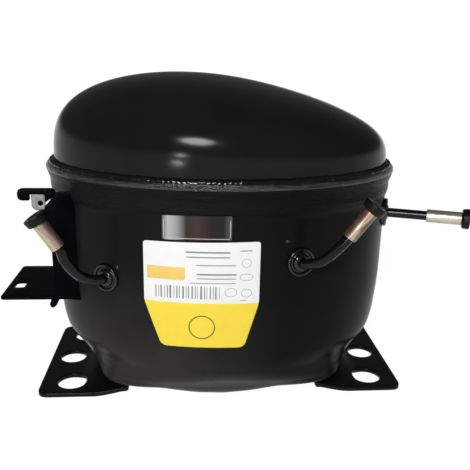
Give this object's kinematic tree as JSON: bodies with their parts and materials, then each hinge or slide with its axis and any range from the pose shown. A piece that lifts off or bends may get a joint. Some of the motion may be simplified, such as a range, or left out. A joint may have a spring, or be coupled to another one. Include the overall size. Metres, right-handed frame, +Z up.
{
  "type": "hermetic reciprocating compressor",
  "caption": "Hermetic compressor: black oval steel shell with a lopsided dome, foot plates, bent pipe stubs, terminal bracket, and a sprung motor and piston pump inside.",
  "frame": {"origin": "on the ground under the middle of the whole piece's bounding box", "axes": "+X to the side with the straight process stub, +Y away from the labelled face, +Z up"},
  "size_m": [0.2535, 0.1588, 0.173],
  "materials": {
    "shell_paint": "satin black enamel",
    "weld_paint": "satin black enamel over a weld",
    "matte_black": "matte black",
    "tin_plate": "bright plated",
    "label_paper": "printed film, white above and yellow below",
    "silver_film": "clear and silver film",
    "bright_steel": "machined",
    "sealing_glass": "glossy sealing glass",
    "zinc_sleeve": "yellow plated, satin",
    "copper_sleeve": "copper plated, satin",
    "plug_rubber": "matte",
    "lamination": "stacked sheet, blued edges",
    "enamel_wire": "enamelled copper wire",
    "cast_aluminium": "as cast",
    "grey_iron": "as cast, machined faces",
    "spring_steel": "drawn wire",
    "muffler_plastic": "moulded",
    "copper_line": "drawn copper"
  },
  "bodies": {
    "shell": {"lower_shell": "shell_paint", "upper_shell": "shell_paint", "seam_weld": "weld_paint", "foot_plate_left": "shell_paint", "foot_plate_right": "shell_paint", "terminal_fence": "matte_black", "earth_tab": "tin_plate", "rating_label": "label_paper", "serial_label": "silver_film", "terminal_body": "bright_steel", "terminal_glass": "sealing_glass", "terminal_pin_1": "bright_steel", "terminal_pin_2": "bright_steel", "terminal_pin_3": "bright_steel", "suction_collar": "weld_paint", "suction_tube": "shell_paint", "suction_sleeve": "zinc_sleeve", "discharge_collar": "weld_paint", "discharge_tube": "shell_paint", "discharge_sleeve": "copper_sleeve", "process_collar": "weld_paint", "process_tube": "shell_paint", "process_sleeve": "copper_sleeve", "spring_seat_1": "weld_paint", "spring_seat_2": "weld_paint", "spring_seat_3": "weld_paint", "spring_seat_4": "weld_paint"},
    "pump": {"cylinder_block": "grey_iron", "stator_core": "lamination", "stator_winding": "enamel_wire", "suction_reed": "spring_steel", "valve_plate": "bright_steel", "discharge_reed": "spring_steel", "cylinder_head": "cast_aluminium", "suction_muffler": "muffler_plastic", "discharge_muffler": "bright_steel", "discharge_line": "copper_line", "head_bolt_1": "bright_steel", "head_bolt_2": "bright_steel", "head_bolt_3": "bright_steel", "head_bolt_4": "bright_steel", "stator_bolt_1": "bright_steel", "stator_bolt_2": "bright_steel", "stator_bolt_3": "bright_steel", "stator_bolt_4": "bright_steel", "suspension_spring_1": "spring_steel", "suspension_spring_2": "spring_steel", "suspension_spring_3": "spring_steel", "suspension_spring_4": "spring_steel"},
    "crank": {"crankshaft": "grey_iron", "rotor_core": "lamination", "rotor_cage": "cast_aluminium", "oil_pickup": "bright_steel"},
    "piston_body": {"piston": "bright_steel", "wrist_pin": "bright_steel"},
    "rod_body": {"connecting_rod": "cast_aluminium"},
    "suction_plug_body": {"suction_plug": "plug_rubber"},
    "discharge_plug_body": {"discharge_plug": "plug_rubber"},
    "process_plug_body": {"process_plug": "plug_rubber"}
  },
  "joints": [
    {"name": "pump_float", "type": "slide", "parent": "shell", "child": "pump", "axis": [0, 0, 1], "range_m": [-0.002, 0.002], "stiffness_N_per_m": 40000, "deforming": ["suspension_spring_1", "suspension_spring_2", "suspension_spring_3", "suspension_spring_4", "discharge_line"]},
    {"name": "crank_spin", "type": "hinge", "parent": "pump", "child": "crank", "pos_m": [-0.01708, 0.00771, 0.06], "axis": [0, 0, 1], "continuous": true},
    {"name": "piston_stroke", "type": "slide", "parent": "pump", "child": "piston_body", "axis": [1, 0, 0], "range_m": [-0.018, 0]},
    {"name": "rod_swing", "type": "hinge", "parent": "piston_body", "child": "rod_body", "pos_m": [0.03092, 0.00771, 0.12], "axis": [0, 0, 1], "range_deg": [-13, 13]},
    {"name": "suction_plug_pull", "type": "slide", "parent": "shell", "child": "suction_plug_body", "axis": [-0.5369, -0.0706, 0.8407], "range_m": [0, 0.012]},
    {"name": "discharge_plug_pull", "type": "slide", "parent": "shell", "child": "discharge_plug_body", "axis": [0.5785, -0.0964, 0.8099], "range_m": [0, 0.012]},
    {"name": "process_plug_pull", "type": "slide", "parent": "shell", "child": "process_plug_body", "axis": [0.9372, -0.3487, 0], "range_m": [0, 0.012]}
  ]
}
